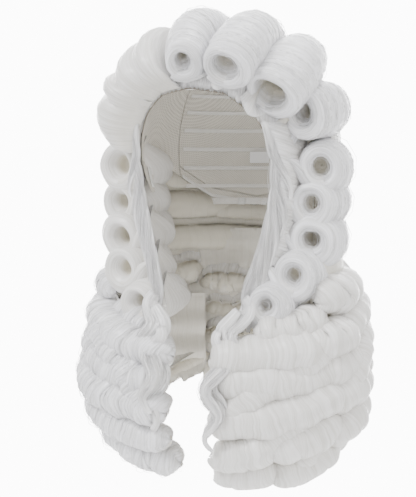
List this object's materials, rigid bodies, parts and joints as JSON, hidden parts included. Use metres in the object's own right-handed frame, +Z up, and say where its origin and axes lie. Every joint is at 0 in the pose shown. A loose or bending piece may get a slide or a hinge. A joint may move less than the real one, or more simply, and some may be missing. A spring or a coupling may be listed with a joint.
{
  "type": "costume wig",
  "caption": "Full-bottomed costume wig in white fibre: a fitted stretch cap under rolled front hair, barrel curls beside the face and long waved falls.",
  "frame": {"origin": "inside of the cap at the crown, where the top of the wearer's head sits", "axes": "+Z up, -Y the way the wearer faces, +X the wearer's left"},
  "size_m": [0.2972, 0.2317, 0.457],
  "materials": {
    "white_fibre": "satin white synthetic hair",
    "hairline_lace": "matte ventilated lace",
    "stretch_net": "open stretch net",
    "elastic": "woven elastic",
    "hook_plastic": "moulded, fine matte",
    "label": "smooth woven tape"
  },
  "bodies": {
    "cap": {"front_lace": "hairline_lace", "front_panel": "stretch_net", "crown_net": "stretch_net", "left_side_panel": "stretch_net", "right_side_panel": "stretch_net", "back_panel": "stretch_net", "nape_band": "elastic", "left_ear_tab": "elastic", "right_ear_tab": "elastic", "left_ear_stay": "hook_plastic", "right_ear_stay": "hook_plastic", "nape_loop_tape": "elastic", "front_tape_tab": "label", "size_label": "label", "base_hair": "white_fibre", "front_centre_roll": "white_fibre", "left_front_roll": "white_fibre", "right_front_roll": "white_fibre", "left_swept_roll": "white_fibre", "right_swept_roll": "white_fibre", "left_temple_curl": "white_fibre", "right_temple_curl": "white_fibre", "crown_roll": "white_fibre", "back_roll_1": "white_fibre", "back_roll_2": "white_fibre", "back_roll_3": "white_fibre", "back_roll_4": "white_fibre", "back_roll_5": "white_fibre", "back_roll_6": "white_fibre", "left_face_lock": "white_fibre", "right_face_lock": "white_fibre", "left_side_curl_1": "white_fibre", "left_side_curl_2": "white_fibre", "left_side_curl_3": "white_fibre", "left_side_curl_4": "white_fibre", "right_side_curl_1": "white_fibre", "right_side_curl_2": "white_fibre", "right_side_curl_3": "white_fibre", "right_side_curl_4": "white_fibre"},
    "left_fall": {"left_side_curl_5": "white_fibre", "left_fall_row_1": "white_fibre", "left_fall_row_2": "white_fibre", "left_fall_row_3": "white_fibre", "left_fall_row_4": "white_fibre", "left_fall_row_5": "white_fibre"},
    "right_fall": {"right_side_curl_5": "white_fibre", "right_fall_row_1": "white_fibre", "right_fall_row_2": "white_fibre", "right_fall_row_3": "white_fibre", "right_fall_row_4": "white_fibre", "right_fall_row_5": "white_fibre"},
    "back_fall": {"back_fall_row_1": "white_fibre", "back_fall_row_2": "white_fibre", "back_fall_row_3": "white_fibre", "back_fall_row_4": "white_fibre", "back_fall_row_5": "white_fibre"},
    "left_adjuster": {"left_adjuster_strap": "elastic", "left_adjuster_hook": "hook_plastic"},
    "right_adjuster": {"right_adjuster_strap": "elastic", "right_adjuster_hook": "hook_plastic"}
  },
  "joints": [
    {"name": "left_fall_swing", "type": "hinge", "parent": "cap", "child": "left_fall", "pos_m": [0.088, -0.035, -0.221], "axis": [0, -1, 0], "range_deg": [0, 20]},
    {"name": "right_fall_swing", "type": "hinge", "parent": "cap", "child": "right_fall", "pos_m": [-0.088, -0.035, -0.221], "axis": [0, 1, 0], "range_deg": [0, 20]},
    {"name": "back_fall_lift", "type": "hinge", "parent": "cap", "child": "back_fall", "pos_m": [0, 0.095, -0.189], "axis": [1, 0, 0], "range_deg": [0, 25]},
    {"name": "left_adjuster_run", "type": "hinge", "parent": "cap", "child": "left_adjuster", "pos_m": [0, 0.0292, -0.15], "axis": [0, 0, 1], "range_deg": [0, 8]},
    {"name": "right_adjuster_run", "type": "hinge", "parent": "cap", "child": "right_adjuster", "pos_m": [0, 0.0292, -0.15], "axis": [0, 0, -1], "range_deg": [0, 8]}
  ]
}
